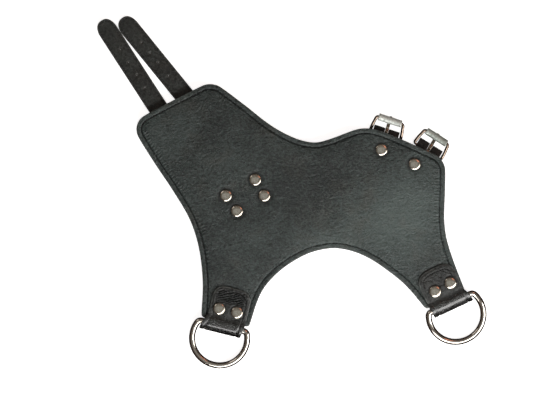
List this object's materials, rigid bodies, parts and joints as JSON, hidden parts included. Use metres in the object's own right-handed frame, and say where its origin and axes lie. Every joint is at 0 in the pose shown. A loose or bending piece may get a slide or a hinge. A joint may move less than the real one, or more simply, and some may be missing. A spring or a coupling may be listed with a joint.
{
  "type": "leather harness pad",
  "caption": "Flat padded leather harness panel with punched straps, roller buckles on chapes and D-rings held in folded leather tabs.",
  "frame": {"origin": "centre of the object's box in plan, on the plane it rests on", "axes": "+Z out of the lining, away from the resting plane; +X along the long side, from the straps towards the buckles; +Y from the ring legs towards the strap tips"},
  "size_m": [0.3898, 0.3528, 0.0169],
  "materials": {
    "lining_leather": "near-black grained lining leather, semi-matt",
    "outer_leather": "black harness leather, waxed",
    "strap_leather": "black bridle leather with burnished edges",
    "tab_leather": "black leather, glossier over the fold",
    "foam": "closed-cell foam sheet, dark grey",
    "thread": "bonded black sewing thread",
    "nickel": "polished nickel plate, warm",
    "roller_steel": "satin nickel-plated rolled steel, lightly mottled"
  },
  "bodies": {
    "pad": {"lining_panel": "lining_leather", "foam_core": "foam", "outer_panel": "outer_leather", "perimeter_thread": "thread", "left_ring_tab": "tab_leather", "right_ring_tab": "tab_leather", "left_tab_thread": "thread", "right_tab_thread": "thread", "left_chape": "strap_leather", "right_chape": "strap_leather", "left_strap_root": "strap_leather", "right_strap_root": "strap_leather", "left_strap_inner_rivet_cap": "nickel", "left_strap_inner_rivet_post": "nickel", "left_strap_outer_rivet_cap": "nickel", "left_strap_outer_rivet_post": "nickel", "right_strap_inner_rivet_cap": "nickel", "right_strap_inner_rivet_post": "nickel", "right_strap_outer_rivet_cap": "nickel", "right_strap_outer_rivet_post": "nickel", "left_chape_rivet_cap": "nickel", "left_chape_rivet_post": "nickel", "right_chape_rivet_cap": "nickel", "right_chape_rivet_post": "nickel", "left_tab_left_rivet_cap": "nickel", "left_tab_left_rivet_post": "nickel", "left_tab_right_rivet_cap": "nickel", "left_tab_right_rivet_post": "nickel", "right_tab_left_rivet_cap": "nickel", "right_tab_left_rivet_post": "nickel", "right_tab_right_rivet_cap": "nickel", "right_tab_right_rivet_post": "nickel"},
    "left_ring": {"left_d_ring": "nickel"},
    "right_ring": {"right_d_ring": "nickel"},
    "left_frame": {"left_buckle_frame": "nickel"},
    "left_roller": {"left_buckle_roller": "roller_steel"},
    "left_tongue": {"left_buckle_tongue": "nickel"},
    "right_frame": {"right_buckle_frame": "nickel"},
    "right_roller": {"right_buckle_roller": "roller_steel"},
    "right_tongue": {"right_buckle_tongue": "nickel"},
    "left_strap_1": {"left_strap_link_1": "strap_leather"},
    "left_strap_2": {"left_strap_link_2": "strap_leather"},
    "left_strap_3": {"left_strap_link_3": "strap_leather"},
    "right_strap_1": {"right_strap_link_1": "strap_leather"},
    "right_strap_2": {"right_strap_link_2": "strap_leather"},
    "right_strap_3": {"right_strap_link_3": "strap_leather"}
  },
  "joints": [
    {"name": "left_ring_swing", "type": "hinge", "parent": "pad", "child": "left_ring", "pos_m": [-0.06903, -0.13359, 0.00845], "axis": [-0.9703, 0.2419, 0], "range_deg": [-100, 110]},
    {"name": "right_ring_swing", "type": "hinge", "parent": "pad", "child": "right_ring", "pos_m": [0.15897, -0.11079, 0.00845], "axis": [-0.9063, -0.4226, 0], "range_deg": [-100, 110]},
    {"name": "left_buckle_swing", "type": "hinge", "parent": "pad", "child": "left_frame", "pos_m": [0.09337, 0.05621, 0.00245], "axis": [0.9511, -0.309, 0], "range_deg": [-60, 5]},
    {"name": "left_roller_spin", "type": "hinge", "parent": "left_frame", "child": "left_roller", "pos_m": [0.09845, 0.07184, 0.00681], "axis": [0.9511, -0.309, 0], "continuous": true},
    {"name": "left_tongue_swing", "type": "hinge", "parent": "left_frame", "child": "left_tongue", "pos_m": [0.09337, 0.05621, 0.00245], "axis": [0.9511, -0.309, 0], "range_deg": [-95, 0]},
    {"name": "right_buckle_swing", "type": "hinge", "parent": "pad", "child": "right_frame", "pos_m": [0.13607, 0.04111, 0.00245], "axis": [0.8434, -0.5373, 0], "range_deg": [-60, 5]},
    {"name": "right_roller_spin", "type": "hinge", "parent": "right_frame", "child": "right_roller", "pos_m": [0.1449, 0.05497, 0.00681], "axis": [0.8434, -0.5373, 0], "continuous": true},
    {"name": "right_tongue_swing", "type": "hinge", "parent": "right_frame", "child": "right_tongue", "pos_m": [0.13607, 0.04111, 0.00245], "axis": [0.8434, -0.5373, 0], "range_deg": [-95, 0]},
    {"name": "left_strap_bend_1", "type": "hinge", "parent": "pad", "child": "left_strap_1", "pos_m": [-0.13645, 0.08841, 0.00365], "axis": [0.8393, 0.5436, 0], "range_deg": [-60, 60]},
    {"name": "left_strap_bend_2", "type": "hinge", "parent": "left_strap_1", "child": "left_strap_2", "pos_m": [-0.1514, 0.11149, 0.00365], "axis": [0.8393, 0.5436, 0], "range_deg": [-60, 60]},
    {"name": "left_strap_bend_3", "type": "hinge", "parent": "left_strap_2", "child": "left_strap_3", "pos_m": [-0.16716, 0.13583, 0.00365], "axis": [0.8393, 0.5436, 0], "range_deg": [-60, 60]},
    {"name": "right_strap_bend_1", "type": "hinge", "parent": "pad", "child": "right_strap_1", "pos_m": [-0.11088, 0.10109, 0.00365], "axis": [0.7764, 0.6302, 0], "range_deg": [-60, 60]},
    {"name": "right_strap_bend_2", "type": "hinge", "parent": "right_strap_1", "child": "right_strap_2", "pos_m": [-0.12821, 0.12244, 0.00365], "axis": [0.7764, 0.6302, 0], "range_deg": [-60, 60]},
    {"name": "right_strap_bend_3", "type": "hinge", "parent": "right_strap_2", "child": "right_strap_3", "pos_m": [-0.14649, 0.14496, 0.00365], "axis": [0.7764, 0.6302, 0], "range_deg": [-60, 60]}
  ]
}
